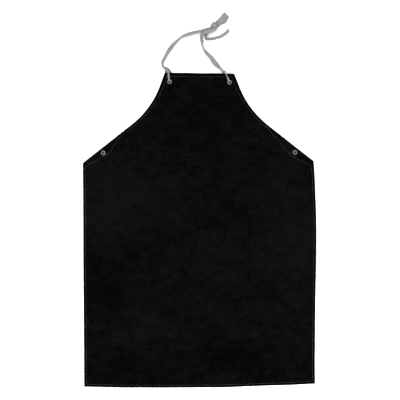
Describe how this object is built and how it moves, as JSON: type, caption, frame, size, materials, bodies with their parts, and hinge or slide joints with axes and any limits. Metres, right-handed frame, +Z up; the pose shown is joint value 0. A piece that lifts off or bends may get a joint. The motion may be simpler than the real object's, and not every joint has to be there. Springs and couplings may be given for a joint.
{
  "type": "acid apron",
  "caption": "Bib apron of black rubber-coated cloth lying flat, with turned and stitched hems, brass eyelets and a cotton neck tape tied in a knot.",
  "frame": {"origin": "middle of the panel's outline, on the surface that the apron lies on", "axes": "+Y from the bottom hem to the neck, +X to the right as seen from above, +Z up out of the front of the apron"},
  "size_m": [0.907, 1.461, 0.0223],
  "materials": {
    "rubber_cloth": "matt bluish black rubber coating with faint blotches and fine specks",
    "eyelet_brass": "dull tarnished brass",
    "cotton_tape": "grey unbleached cotton tape, herringbone weave"
  },
  "bodies": {
    "root": {"panel": "rubber_cloth", "waist_facing_left": "rubber_cloth", "waist_facing_right": "rubber_cloth", "eyelet_neck_left": "eyelet_brass", "eyelet_neck_right": "eyelet_brass", "eyelet_waist_left": "eyelet_brass", "eyelet_waist_right": "eyelet_brass", "neck_tape_left": "cotton_tape", "neck_tape_right": "cotton_tape"}
  },
  "joints": []
}
